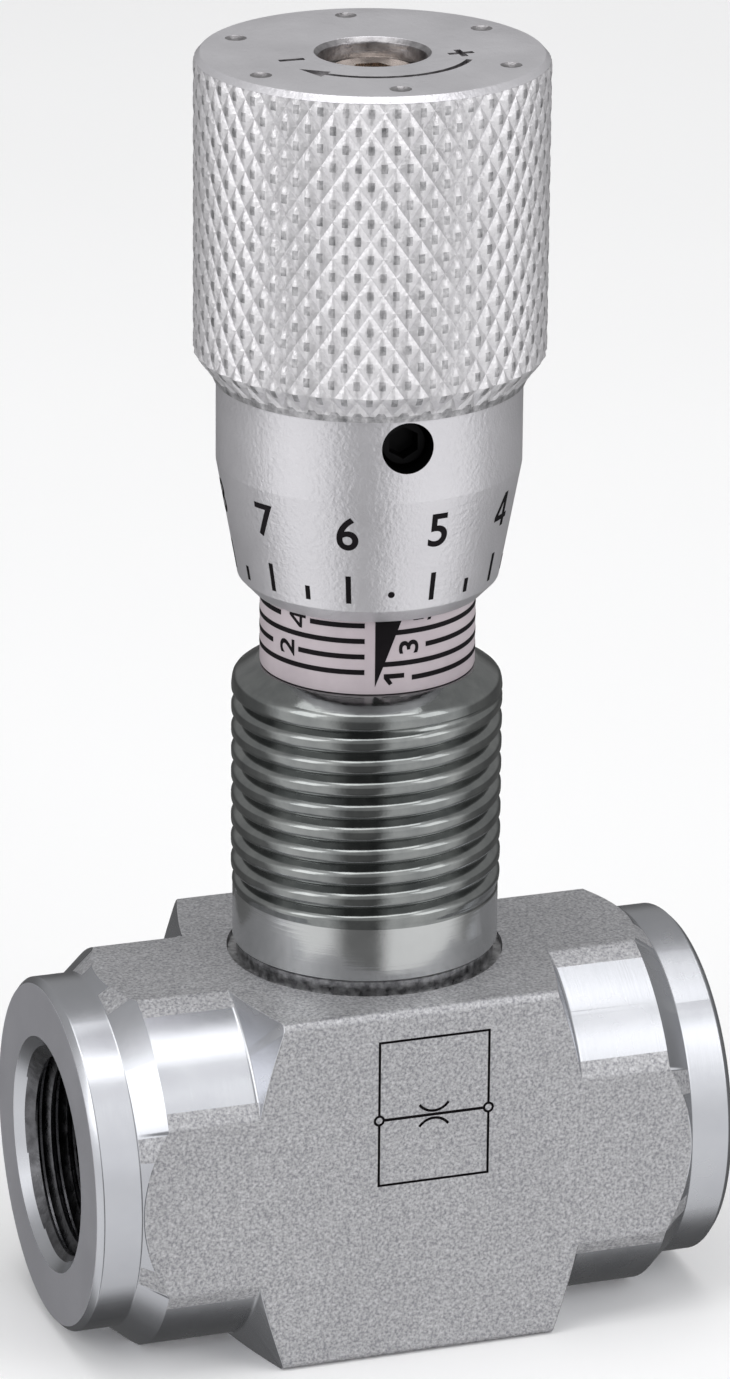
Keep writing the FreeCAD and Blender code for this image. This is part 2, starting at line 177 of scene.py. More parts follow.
def dull(name, dark, light, rough, grain=1500.0, grain_height=0.00001, blotch=200.0, specular=0.4):
    """A plastic, rubber or ink: a wandering colour with a fine grain."""
    material, shader = new_material(name)
    g = Graph(material)
    patches = g.noise(blotch, 4.0, 0.6)
    g.link(g.ramp(patches, [(0.3, dark), (0.7, light)]), shader.inputs["Base Color"])
    g.link(g.range(patches, rough[0], rough[1]), shader.inputs["Roughness"])
    g.link(g.bump(g.noise(grain, 2.0, 0.6), grain_height), shader.inputs["Normal"])
    shader.inputs["Specular IOR Level"].default_value = specular
    return material


BLASTED = metal("blasted_steel", (0.39, 0.39, 0.405), (0.43, 0.43, 0.445), (0.42, 0.52), grain=5200.0,
                grain_height=0.000016, blotch=120.0,
                speckle={"scale": 4300.0, "dark": (0.60, 0.60, 0.63), "light": (1.45, 1.45, 1.45)},
                metallic=0.6)
TURNED = metal("turned_zinc", (0.50, 0.51, 0.545), (0.57, 0.58, 0.61), (0.22, 0.30), grain=700.0,
               grain_height=0.000004, lines=(9000.0, 60.0, 60.0), lines_height=0.000003)
FACED = metal("faced_zinc", (0.36, 0.36, 0.39), (0.42, 0.42, 0.45), (0.34, 0.42), grain=2400.0,
              grain_height=0.000008, metallic=0.5)
# Painted shade: a near black zinc for the inside of the ports and the passages in the block.
PORT_PAINTED_SHADE = metal("port_thread_painted_shade", (0.07, 0.07, 0.075), (0.16, 0.16, 0.17), (0.20, 0.34), grain=2400.0,
               grain_height=0.00002, blotch=900.0)
# Painted shade: a dark zinc for the undercut groove round the neck's foot and the recess in the block round
# it.
UNDERCUT_PAINTED_SHADE = metal("undercut_painted_shade", (0.12, 0.12, 0.125), (0.55, 0.55, 0.56), (0.26, 0.40), grain=1200.0,
                 grain_height=0.00004, blotch=1600.0)
NECK = metal("bright_zinc", (0.21, 0.22, 0.22), (0.30, 0.31, 0.305), (0.08, 0.16), grain=1600.0,
             grain_height=0.000006, blotch=420.0, lines=(60.0, 60.0, 7000.0), lines_height=0.000004)
FOOT = metal("ground_zinc", (0.50, 0.51, 0.51), (0.55, 0.56, 0.56), (0.16, 0.22), grain=1600.0,
             grain_height=0.000004, blotch=300.0, lines=(40.0, 40.0, 5000.0), lines_height=0.00001)
SATIN = metal("satin_aluminium", (0.66, 0.65, 0.68), (0.72, 0.71, 0.74), (0.30, 0.38), grain=2600.0,
              grain_height=0.00005, blotch=160.0, metallic=0.7)
# Painted light and shade on the knurl: its groove faces get this lighter copy of the aluminium, and its
# diamond tips the darker copy below.
KNURL_GROOVES_PAINTED_LIGHT = metal("knurl_grooves_painted_light", (0.66, 0.65, 0.67), (0.80, 0.79, 0.81), (0.34, 0.42), grain=3200.0,
                grain_height=0.00006, blotch=1400.0, metallic=0.65)
# Painted shade: a darker copy of the knurl's aluminium for its diamond tips.
KNURL_TIPS_PAINTED_SHADE = metal("knurl_tips_painted_shade", (0.24, 0.24, 0.25), (0.66, 0.65, 0.67), (0.30, 0.40), grain=3200.0,
                   grain_height=0.00006, blotch=1500.0, metallic=0.7)
# Painted shade: a darker copy of the knob's aluminium for the socket in its top and the faces of its
# engraved marks.
RECESS_PAINTED_SHADE = metal("recess_painted_shade", (0.24, 0.23, 0.24), (0.44, 0.43, 0.44), (0.28, 0.42), grain=1800.0,
               grain_height=0.00004, blotch=1200.0, lines=(60.0, 60.0, 3000.0), lines_height=0.00003)
GROUND = metal("ground_steel", (0.50, 0.50, 0.51), (0.62, 0.62, 0.63), (0.16, 0.26),
               lines=(60.0, 60.0, 9000.0), lines_height=0.000003)
SPRING = metal("phosphated_steel", (0.10, 0.10, 0.105), (0.16, 0.16, 0.165), (0.40, 0.52), grain=2200.0,
               grain_height=0.000012)
YELLOW = metal("yellow_zinc", (0.60, 0.50, 0.42), (0.78, 0.68, 0.60), (0.18, 0.30), grain=1400.0,
               blotch=700.0)
BRASS = metal("turned_brass", (0.62, 0.44, 0.18), (0.74, 0.56, 0.26), (0.22, 0.32))
# Black oxide of the set screw, and also painted shade: the walls of the set screw's hole in the knob are
# painted with it.
BLACK_OXIDE_AND_HOLE_SHADE = metal("black_oxide_and_hole_shade", (0.006, 0.006, 0.006), (0.016, 0.016, 0.017), (0.45, 0.6), grain=2200.0)
RUBBER = dull("nitrile", (0.012, 0.012, 0.012), (0.022, 0.022, 0.022), (0.5, 0.62))
PTFE = dull("ptfe", (0.78, 0.78, 0.76), (0.86, 0.86, 0.84), (0.36, 0.46))
FILM = dull("printed_film", (0.44, 0.385, 0.415), (0.53, 0.47, 0.50), (0.30, 0.40), grain=900.0,
            grain_height=0.000006)
# Black ink for the printed digits and lines, and also painted shade: the cut faces of the block's engraved
# symbol are painted with it.
INK_AND_SYMBOL_SHADE = dull("black_ink_and_symbol_shade", (0.004, 0.003, 0.004), (0.010, 0.008, 0.010), (0.55, 0.65), specular=0.1)


# ---------------------------------------------------------------- mesh tools

def make_object(name, mesh, materials, body, replaced=()):
    piece = bpy.data.objects.new(name, mesh)
    bpy.context.scene.collection.objects.link(piece)
    piece.data.materials.clear()
    for material in materials:
        piece.data.materials.append(material)
    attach(piece, body)
    if replaced:
        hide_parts(*replaced)
    return piece


def paint(piece, choose):
    """Gives each face the material slot that choose(x, y, level, normal) returns."""
    for face in piece.data.polygons:
        x, y, level = face.center.x / MM, face.center.y / MM, face.center.z / MM - PORT_HEIGHT
        face.material_index = choose(x, y, level, face.normal)


def mesh_of(name, points, faces):
    """A mesh from points in millimetres above the port axis."""
    mesh = bpy.data.meshes.new(name)
    placed = (np.asarray(points, float) + np.array([0, 0, PORT_HEIGHT])) * MM
    mesh.from_pydata(placed.tolist(), [], faces)
    return mesh


def clean(mesh, sharp=32.0, distance=2e-6):
    """Welds doubled points, turns the faces outward and marks the sharp edges."""
    bm = bmesh.new()
    bm.from_mesh(mesh)
    bmesh.ops.remove_doubles(bm, verts=bm.verts, dist=distance)
    bmesh.ops.dissolve_degenerate(bm, dist=distance / 4, edges=bm.edges)
    bmesh.ops.recalc_face_normals(bm, faces=bm.faces)
    bm.to_mesh(mesh)
    bm.free()
    mesh.shade_smooth()
    mesh.set_sharp_from_angle(angle=math.radians(sharp))
    return mesh


def grid_faces(rows, columns):
    faces = []
    for i in range(rows - 1):
        for j in range(columns - 1):
            a = i * columns + j
            faces.append((a, a + 1, a + columns + 1, a + columns))
    return faces


def fillet(corners, radius, steps=4):
    """Rounds the corners of an open line of (a, b, radius factor) points; the two ends stay."""
    line = [corners[0][:2]]
    for i in range(1, len(corners) - 1):
        a, b, factor = corners[i]
        before = (corners[i - 1][0] - a, corners[i - 1][1] - b)
        after = (corners[i + 1][0] - a, corners[i + 1][1] - b)
        d1, d2 = math.hypot(*before), math.hypot(*after)
        if d1 < 1e-9 or d2 < 1e-9:
            line += [(a, b)] * steps
            continue
        cosine = (before[0] * after[0] + before[1] * after[1]) / (d1 * d2)
        half = math.acos(max(-1.0, min(1.0, cosine))) / 2
        reach = min(radius * factor / max(math.tan(half), 1e-6), 0.45 * d1, 0.45 * d2)
        for k in range(steps):
            s = k / (steps - 1)
            w1, w2 = (1 - s) ** 2 * reach / d1, s * s * reach / d2
            line.append((a + w1 * before[0] + w2 * after[0], b + w1 * before[1] + w2 * after[1]))
    line.append(corners[-1][:2])
    return line


def lathe(name, section, segments):
    """A closed mesh turned about the knob's axis from a loop of (radius, level) points."""
    points, count = [], len(section)
    for j in range(segments):
        c, s = math.cos(TAU * j / segments), math.sin(TAU * j / segments)
        points += [(r * c, r * s, z) for r, z in section]
    faces = []
    for j in range(segments):
        k = (j + 1) % segments
        for i in range(count):
            n = (i + 1) % count
            faces.append((j * count + i, k * count + i, k * count + n, j * count + n))
    return mesh_of(name, points, faces)


def subtract(mesh, cutters):
    """Cuts closed meshes out of a mesh, and returns the result."""
    scene = bpy.context.scene.collection
    blank = bpy.data.objects.new("blank", mesh)
    scene.objects.link(blank)
    tools = []
    for cutter in cutters:
        tool = bpy.data.objects.new("tool", cutter)
        scene.objects.link(tool)
        tools.append(tool)
        modifier = blank.modifiers.new("cut", "BOOLEAN")
        modifier.operation = "DIFFERENCE"
        modifier.solver = "EXACT"
        modifier.object = tool
    bpy.context.view_layer.update()
    result = bpy.data.meshes.new_from_object(blank.evaluated_get(bpy.context.evaluated_depsgraph_get()))
    for item in [blank, *tools]:
        bpy.data.objects.remove(item)
    return result


def rounded_box_radius(angle, half_y, half_z, corner):
    """Distance from the port axis to a rounded rectangle's edge, along a direction."""
    c, s = abs(math.cos(angle)), abs(math.sin(angle))
    straight = min(half_y / max(c, 1e-9), half_z / max(s, 1e-9))
    y, z = straight * c, straight * s
    if y <= half_y - corner or z <= half_z - corner:
        return straight
    centre_y, centre_z = half_y - corner, half_z - corner
    along = c * centre_y + s * centre_z
    return along + math.sqrt(max(along * along - centre_y**2 - centre_z**2 + corner * corner, 0.0))


# ---------------------------------------------------------------- block with its turned ends and ports

PORT_PITCH = 1.337
PORT_MINOR, PORT_MAJOR, MOUTH_RADIUS = 7.475, 8.331, 9.3
TURNED_RADIUS, COLLAR_RADIUS = 15.6, 13.9
BAR_CORNER = 0.7
# Places along the port axis, from the middle of the block. The bar's corners are cut by a cone that has
# CONE_RADIUS at CONE_START and TURNED_RADIUS at CONE_END.
CONE_RADIUS, CONE_START, CONE_END = 22.0, 10.15, 13.1
TURNED_END, SLOPE_WIDTH, GROOVE_END = 20.4, 2.1, 22.5
PORT_TIP, PORT_BOTTOM, THREAD_START, THREAD_FADE, THREAD_END = 11.8, 13.0, 13.4, 1.3, 25.3
SINK_START, SINK_DEPTH = 25.1, 0.9
FLAT_END = 22.0
PASSAGE_RADIUS = 2.4


def port_radius(x, angle):
    """Right-handed inside thread of a port, run out at the bottom and countersunk at the mouth."""
    phase = (x / PORT_PITCH - angle / TAU) % 1.0
    height = min(max(((1 - abs(2 * phase - 1)) - 0.12) / 0.76, 0.0), 1.0)
    fade = min(max((x - THREAD_START) / THREAD_FADE, 0.0), 1.0)
    radius = PORT_MINOR + (PORT_MAJOR - PORT_MINOR) * height * fade
    return max(radius, PORT_MAJOR + (x - SINK_START) * (MOUTH_RADIUS - PORT_MAJOR) / SINK_DEPTH)


def block_angles():
    """Directions round the port axis, with more at the bar's corners and where its flats end."""
    angles = set(np.linspace(0, TAU, 241).round(6).tolist())
    corner_y, corner_z = HALF_WIDTH - BAR_CORNER, PORT_HEIGHT - BAR_CORNER
    first, last = math.atan2(corner_z, HALF_WIDTH), math.atan2(PORT_HEIGHT, corner_y)
    quarter = list(np.linspace(first, last, 9))
    quarter.append(math.acos(HALF_WIDTH / TURNED_RADIUS))
    quarter.append(math.asin(PORT_HEIGHT / TURNED_RADIUS))
    for a in quarter:
        angles |= {round(v % TAU, 6) for v in (a, math.pi - a, math.pi + a, TAU - a)}
    ordered = sorted(angles)
    kept = [ordered[0]]
    for a in ordered[1:]:
        if a - kept[-1] > 0.0004:
            kept.append(a)
    kept[-1] = TAU
    return kept


def block_column(angle):
    """Outline from the middle of the bar to the bottom of one port, along one direction."""
    flat = rounded_box_radius(angle, HALF_WIDTH, PORT_HEIGHT, BAR_CORNER)
    inner = min(flat, TURNED_RADIUS)
    cone = CONE_START + (CONE_RADIUS - flat) * (CONE_END - CONE_START) / (CONE_RADIUS - TURNED_RADIUS)
    first = cone if flat > TURNED_RADIUS else CONE_END
    second = TURNED_END + (TURNED_RADIUS - inner) * SLOPE_WIDTH / (TURNED_RADIUS - COLLAR_RADIUS)
    corners = [
        (0.0, flat, 0),
        (first, flat, 0.22),
        (CONE_END, inner, 0.35),
        (TURNED_END, inner, 0.2),
        (second, inner, 0.2),
        (GROOVE_END, COLLAR_RADIUS, 0.25),
        (HALF_LENGTH - 0.5, COLLAR_RADIUS, 0.2),
        (HALF_LENGTH, COLLAR_RADIUS - 0.5, 0.15),
        (HALF_LENGTH, MOUTH_RADIUS, 0),
    ]
    line = fillet(corners, 1.0)
    steps = 8
    for k in range(-steps, int((THREAD_END - PORT_BOTTOM) / PORT_PITCH * steps) + steps + 1):
        x = THREAD_END - PORT_PITCH * (k / steps) + PORT_PITCH * (angle / TAU)
        x = min(max(x - PORT_PITCH, PORT_BOTTOM), THREAD_END)
        line.append((x, port_radius(x, angle)))
    line += [(PORT_BOTTOM, PORT_MINOR), (PORT_TIP, 0.0)]
    return line


def block_mesh():
    angles = block_angles()
    columns = [block_column(a) for a in angles]
    rows = len(columns[0])
    points, faces = [], []
    for turn in (1, -1):
        start = len(points)
        for i in range(rows):
            for a, column in zip(angles, columns):
                x, r = column[i]
                points.append((turn * x, turn * r * math.cos(a), r * math.sin(a)))
        faces += [tuple(start + v for v in face) for face in grid_faces(rows, len(angles))]
    return clean(mesh_of("block", points, faces))


def cylinder_x(radius, x0, x1, z, segments=48):
    points = [(x, radius * math.cos(TAU * j / segments), z + radius * math.sin(TAU * j / segments))
              for x in (x0, x1) for j in range(segments)]
    faces = [(j, (j + 1) % segments, segments + (j + 1) % segments, segments + j) for j in range(segments)]
    faces += [tuple(range(segments))[::-1], tuple(range(segments, 2 * segments))]
    return clean(mesh_of("passage", points, faces))


def ribbon(points, width, depth, plane_y, closed=False):
    """A cutter that engraves a line of (x, level) points into a face at plane_y."""
    count = len(points)
    left, right = [], []
    for i, (x, z) in enumerate(points):
        a = points[(i - 1) % count] if closed or i > 0 else (x, z)
        b = points[(i + 1) % count] if closed or i < count - 1 else (x, z)
        d1 = Vector((x - a[0], z - a[1]))
        d2 = Vector((b[0] - x, b[1] - z))
        d1 = d1.normalized() if d1.length > 0 else d2.normalized()
        d2 = d2.normalized() if d2.length > 0 else d1
        normal = Vector((-(d1 + d2).y, (d1 + d2).x)).normalized()
        reach = width / 2 / max(normal.dot(Vector((-d2.y, d2.x))), 0.3)
        left.append((x + normal.x * reach, z + normal.y * reach))
        right.append((x - normal.x * reach, z - normal.y * reach))
    verts = []
    for y in (plane_y - 0.3, plane_y + depth):
        verts += [(x, y, z) for x, z in left] + [(x, y, z) for x, z in right]
    faces = []
    half = 2 * count
    last = count if closed else count - 1
    for i in range(last):
        n = (i + 1) % count
        faces.append((i, n, count + n, count + i))
        faces.append((half + i, half + count + i, half + count + n, half + n))
        faces.append((i, half + i, half + n, n))
        faces.append((count + i, count + n, half + count + n, half + count + i))
    if not closed:
        faces.append((0, count, half + count, half))
        e = count - 1
        faces.append((e, half + e, half + count + e, count + e))
    return clean(mesh_of("engraving", verts, faces))


def arc(cx, cz, radius, start, end, steps):
    turns = [math.radians(start + (end - start) * i / steps) for i in range(steps + 1)]
    return [(cx + radius * math.cos(turn), cz + radius * math.sin(turn)) for turn in turns]


def symbol_cutters():
    """Generic symbol of a throttle: a frame, a line through it with a ring at each end, and two arcs."""
    face = -HALF_WIDTH
    left, right, low, high, level, middle = -3.5, 5.4, 0.2, 12.1, 5.65, 0.95
    width, depth, gap = 0.2, 0.16, 0.34
    cutters = [
        ribbon([(left, level + gap), (left, high), (right, high), (right, level + gap)], width, depth, face),
        ribbon([(left, level - gap), (left, low), (right, low), (right, level - gap)], width, depth, face),
        ribbon([(left + gap + 0.1, level), (right - gap - 0.1, level)], 0.24, depth, face),
    ]
    for x in (left, right):
        cutters.append(ribbon(arc(x, level, 0.36, 0, 345, 23)[:-1], width, depth, face, closed=True))
    cutters.append(ribbon(arc(middle, level + 1.75, 1.45, 215, 325, 14), 0.22, depth, face))
    cutters.append(ribbon(arc(middle, level - 1.75, 1.45, 35, 145, 14), 0.22, depth, face))
    return cutters


BLOCK_PAINTS = [BLASTED, TURNED, INK_AND_SYMBOL_SHADE, UNDERCUT_PAINTED_SHADE, PORT_PAINTED_SHADE, FACED]


def block_paint(x, y, level, normal):
    """The bar's flats are blasted, and the end faces differ. The symbol's cuts are painted black, and the
    undercut and the ports are painted dark, as painted shade.
    """
    on_bar = abs(x) < FLAT_END
    on_side = on_bar and abs(abs(y) - HALF_WIDTH) < 0.7 and abs(normal.y) > 0.6
    on_top = on_bar and abs(abs(level) - PORT_HEIGHT) < 0.7 and abs(normal.z) > 0.6
    # painted shade: the cut faces of the engraved symbol are painted black
    if abs(x) < 6.2 and -0.3 < level < 12.6 and -HALF_WIDTH + 0.005 < y < -HALF_WIDTH + 0.3:
        return BLOCK_PAINTS.index(INK_AND_SYMBOL_SHADE)
    # painted shade in the recess round the neck's foot
    if math.hypot(x, y) < 10.9 and level > 12.0:
        return BLOCK_PAINTS.index(UNDERCUT_PAINTED_SHADE)
    # painted shade inside the ports and the passages
    if math.hypot(y, level) < 8.5:
        return BLOCK_PAINTS.index(PORT_PAINTED_SHADE)
    if abs(x) > HALF_LENGTH - 0.05:
        return BLOCK_PAINTS.index(FACED)
    return BLOCK_PAINTS.index(BLASTED if on_side or on_top else TURNED)


# (radius, level) points of the stem's bore and of the undercut round the neck's foot
bore = [(0, -9.6), (3.0, -9.6), (3.0, -2.0), (4.3, -2.0), (4.3, 16.0), (0, 16.0)]
ring = [(9.9, 15.5), (9.9, 14.15), (10.7, 14.15), (10.8, 14.3), (10.8, 15.5)]
cutters = [
    clean(lathe("bore", bore, 96)),
    clean(lathe("ring", ring, 192)),
    cylinder_x(PASSAGE_RADIUS, -13.5, 0.0, -5.0),
    cylinder_x(PASSAGE_RADIUS, 0.0, 13.5, 4.5),
    *symbol_cutters(),
]
block = subtract(block_mesh(), cutters)
clean(block, sharp=30.0)
piece = make_object("body_block", block, BLOCK_PAINTS, "housing", ["valve_body"])
paint(piece, block_paint)
weighted = piece.modifiers.new("normals", "WEIGHTED_NORMAL")
weighted.keep_sharp = True
weighted.weight = 80


# ---------------------------------------------------------------- neck with its outside thread

NECK_PITCH = 1.814
NECK_RADIUS, FOOT_RADIUS, UNDERCUT_RADIUS = 10.4775, 10.35, 10.05
NECK_ROOT = 0.78
NECK_TOP = 37.2
THREAD_FOOT, THREAD_SPAN, THREAD_MARGIN = 19.8, 17.1, 0.95
UNDERCUT_TOP, PLAIN_TOP = 15.58, 19.7
STEM_BORE, SPIGOT_BORE, RING_GROOVE = 4.3, 5.0, 5.5
NECK_PAINTS = [NECK, FOOT, UNDERCUT_PAINTED_SHADE]


def neck_radius(z, angle):
    """Right-handed outside thread: broad rounded crests and narrow roots."""
    phase = (z / NECK_PITCH - angle / TAU) % 1.0
    wave = abs(2 * phase - 1)
    height = 1 - (max(wave - 0.26, 0.0) / 0.74) ** 1.6
    start = min(max(z - THREAD_FOOT, 0.0), 1.0)
    end = min(max((NECK_TOP - THREAD_MARGIN - z) / 0.6, 0.0), 1.0)
    depth = NECK_ROOT * min(start, end)
    return NECK_RADIUS - depth * (1 - height) - (1 - start) * (NECK_RADIUS - FOOT_RADIUS)


def neck_mesh(segments=256, steps=14):
    """The foot, the thread, the shoulder and the spigot outside, then the spigot's bore back down."""
    foot = fillet([(STEM_BORE, 12.5, 0), (UNDERCUT_RADIUS, 12.5, 0), (UNDERCUT_RADIUS, 15.35, 0.5),
                   (FOOT_RADIUS, 15.6, 0.5), (FOOT_RADIUS, 19.6, 0)], 0.15)
    spigot = fillet([(NECK_RADIUS, NECK_TOP - 0.9, 0), (NECK_RADIUS - 0.1, NECK_TOP - 0.1, 6),
                     (8.55, 38.2, 1), (7.9, 38.2, 0.3), (7.9, 50.6, 0.5), (7.2, 50.6, 0.5), (7.2, 65.6, 1),
                     (6.8, SPIGOT_TOP, 1), (SPIGOT_BORE, SPIGOT_TOP, 0)], 0.15)[1:]
    inside = [(SPIGOT_BORE, 64.45), (RING_GROOVE, 64.45), (RING_GROOVE, 63.45), (SPIGOT_BORE, 63.45),
              (SPIGOT_BORE, 26.0), (STEM_BORE, 26.0), (STEM_BORE, 12.5)]
    angles = np.linspace(0, TAU, segments + 1)
    columns = []
    for a in angles:
        thread = []
        for k in range(-steps, int(THREAD_SPAN / NECK_PITCH * steps) + 2 * steps):
            z = THREAD_FOOT + NECK_PITCH * (k / steps + a / TAU)
            z = min(max(z, THREAD_FOOT), NECK_TOP - THREAD_MARGIN)
            thread.append((neck_radius(z, a), z))
        columns.append(foot + thread + spigot + inside)
    rows = len(columns[0])
    points = [(columns[j][i][0] * math.cos(a), columns[j][i][0] * math.sin(a), columns[j][i][1])
              for i in range(rows) for j, a in enumerate(angles)]
    return clean(mesh_of("neck", points, grid_faces(rows, segments + 1)), sharp=38.0)


def neck_paint(x, y, level, normal):
    # painted shade in the undercut groove at the neck's foot
    if level < UNDERCUT_TOP:
        return NECK_PAINTS.index(UNDERCUT_PAINTED_SHADE)
    return NECK_PAINTS.index(FOOT if level < PLAIN_TOP else NECK)


piece = make_object("threaded_neck", neck_mesh(), NECK_PAINTS, "housing", ["valve_body"])
paint(piece, neck_paint)


# ---------------------------------------------------------------- knob

GRIP_RADIUS, SKIRT_RADIUS = 13.45, 11.7
GRIP_FOOT, GRIP_SHOULDER = 55.3, 57.6
TAPER_FOOT, TAPER_TOP, TAPER_RADIUS = 39.8, 48.9, 10.05
SKIRT_BORE, SKIRT_FOOT = 8.65, 38.6
RECESS_RADIUS, SQUARE_RADIUS = 4.1, 2.2
HUB_FOOT, RECESS_FLOOR = 66.6, 74.5
BORE_MIDDLE = 45.0
# Diamonds round the grip, mesh steps along half a diamond, a diamond's height, and the grooves' depth. The
# grooves get shallow over KNURL_EDGE above the grip's foot.
KNURL_COUNT = 44
KNURL_STEP = 4
KNURL_HEIGHT = 2.78
KNURL_DEPTH = 0.24
KNURL_EDGE = 0.9
KNURL_TOP = 80.2
TOP_DEPTH = 0.28
ARROW_RADIUS, SIGN_RADIUS, PIP_RING = 7.5, 6.6, 10.9
KNOB_TOP = KNOB_TOP_CLOSED + KNOB_LIFT
LOCK_ANGLE = math.radians(-94.5)
LOCK_LEVEL = 53.2 + KNOB_LIFT
KNOB_PAINTS = [SATIN, KNURL_GROOVES_PAINTED_LIGHT, RECESS_PAINTED_SHADE, KNURL_TIPS_PAINTED_SHADE, BLACK_OXIDE_AND_HOLE_SHADE]


def grip_profile(z):
    """Outer radius of the grip at a level of the closed knob."""
    if z < GRIP_SHOULDER:
        return SKIRT_RADIUS + (z - GRIP_FOOT) * (GRIP_RADIUS - SKIRT_RADIUS) / (GRIP_SHOULDER - GRIP_FOOT)
    return GRIP_RADIUS


def knurl(i, j):
    """Depth of the diamond pattern at a lattice point: 0 on a diamond's middle, 1 in the grooves."""
    unit = 2 * KNURL_STEP
    u, v = ((i + j) % unit) / unit, ((i - j) % unit) / unit
    near = min(1 - abs(2 * u - 1), 1 - abs(2 * v - 1))
    return 1 - min(near / 0.62, 1.0)


def knob_mesh():
    columns = KNURL_COUNT * 2 * KNURL_STEP
    row_step = KNURL_HEIGHT / (2 * KNURL_STEP)
    rows_count = int((KNURL_TOP - GRIP_FOOT - 0.35) / row_step)
    twist = math.radians(FACING)
    lines = []
    lower = fillet([(SKIRT_BORE, BORE_MIDDLE, 0), (SKIRT_BORE, SKIRT_FOOT, 0.1), (8.9, SKIRT_FOOT, 0.1),
                    (TAPER_RADIUS, TAPER_FOOT, 0.25), (SKIRT_RADIUS, TAPER_TOP, 0.6),
                    (SKIRT_RADIUS, GRIP_FOOT, 0.15), (11.9, GRIP_FOOT + 0.05, 0)], 1.0, 5)
    upper = fillet([(GRIP_RADIUS - 0.1, KNURL_TOP + 0.05, 0), (12.95, KNOB_TOP_CLOSED, 0.12),
                    (4.45, KNOB_TOP_CLOSED, 0.1), (RECESS_RADIUS, 80.35, 0.1),
                    (RECESS_RADIUS, RECESS_FLOOR, 0), (SQUARE_RADIUS, RECESS_FLOOR, 0),
                    (SQUARE_RADIUS, HUB_FOOT, 0), (SKIRT_BORE, HUB_FOOT, 0),
                    (SKIRT_BORE, BORE_MIDDLE, 0)], 1.0)
    for j in range(columns):
        line = list(lower)
        for i in range(rows_count + 1):
            z = KNURL_TOP - (rows_count - i) * row_step
            base = grip_profile(z)
            shallow = min(max((z - GRIP_FOOT) / KNURL_EDGE, 0.1), 1.0)
            line.append((base - KNURL_DEPTH * shallow * knurl(i, j), z))
        line += upper
        lines.append(line)
    rows = len(lines[0])
    points, faces = [], []
    for i in range(rows):
        for j in range(columns):
            a = twist + TAU * j / columns
            r, z = lines[j][i]
            points.append((r * math.cos(a), r * math.sin(a), z + KNOB_LIFT))
    first = len(lower)
    for i in range(rows - 1):
        for j in range(columns):
            n = (j + 1) % columns
            a, b, c, d = i * columns + j, i * columns + n, (i + 1) * columns + n, (i + 1) * columns + j
            if not first <= i < first + rows_count:
                faces.append((a, b, c, d))
            elif (i - first - j) % 2 == 0:
                faces += [(a, b, c), (a, c, d)]
            else:
                faces += [(a, b, d), (b, c, d)]
    return mesh_of("knob", points, faces)


def cylinder_out(radius, start, end, level, angle, segments=64):
    """A closed round bar that points out from the knob's axis."""
    out = Vector((math.cos(angle), math.sin(angle), 0))
    side = Vector((-out.y, out.x, 0))
    points = []
    for d in (start, end):
        for j in range(segments):
            t = TAU * j / segments
            p = out * d + side * (radius * math.cos(t)) + Vector((0, 0, level + radius * math.sin(t)))
            points.append(tuple(p))
    faces = [(j, (j + 1) % segments, segments + (j + 1) % segments, segments + j) for j in range(segments)]
    faces += [tuple(range(segments))[::-1], tuple(range(segments, 2 * segments))]
    return clean(mesh_of("bar", points, faces))


def top_ribbon(points, width):
    """A cutter that engraves a line of (x, y) points into the knob's top."""
    mesh = ribbon(points, width, TOP_DEPTH, 0.0)
    for v in mesh.vertices:
        x, y, z = v.co / MM
        v.co = Vector((x, z - PORT_HEIGHT, PORT_HEIGHT + KNOB_TOP - y)) * MM
    return mesh


def on_top(radius, degrees):
    a = math.radians(FACING + degrees)
    return radius * math.cos(a), radius * math.sin(a)


def top_cutters():
    """An arrow bent round the recess from plus to minus, the two signs, and a ring of pips near the rim."""
    cutters = [top_ribbon([on_top(ARROW_RADIUS, -30 + 4 * k) for k in range(27)], 0.5)]
    head = [on_top(ARROW_RADIUS + d, turn) for d, turn in ((0.1, -46), (0.85, -27), (-0.75, -27))]
    points = [(x, y, z) for z in (KNOB_TOP - TOP_DEPTH, KNOB_TOP + 0.3) for x, y in head]
    faces = [(0, 1, 2), (5, 4, 3), (0, 3, 4, 1), (1, 4, 5, 2), (2, 5, 3, 0)]
    cutters.append(clean(mesh_of("head", points, faces)))
    for degrees, upright in ((-66, False), (88, True)):
        x, y = on_top(SIGN_RADIUS, degrees)
        cutters.append(top_ribbon([(x - 1.0, y), (x + 1.0, y)], 0.55))
        if upright:
            cutters.append(top_ribbon([(x, y - 1.0), (x, y + 1.0)], 0.55))
    for k in range(6):
        x, y = on_top(PIP_RING, 11 + 60 * k)
        points = [(x, y, KNOB_TOP - 0.5)]
        points += [(x + 1.1 * math.cos(TAU * j / 12), y + 1.1 * math.sin(TAU * j / 12), KNOB_TOP + 0.15)
                   for j in range(12)]
        faces = [(0, 1 + (j + 1) % 12, 1 + j) for j in range(12)] + [tuple(range(1, 13))]
        cutters.append(clean(mesh_of("pip", points, faces)))
    return cutters


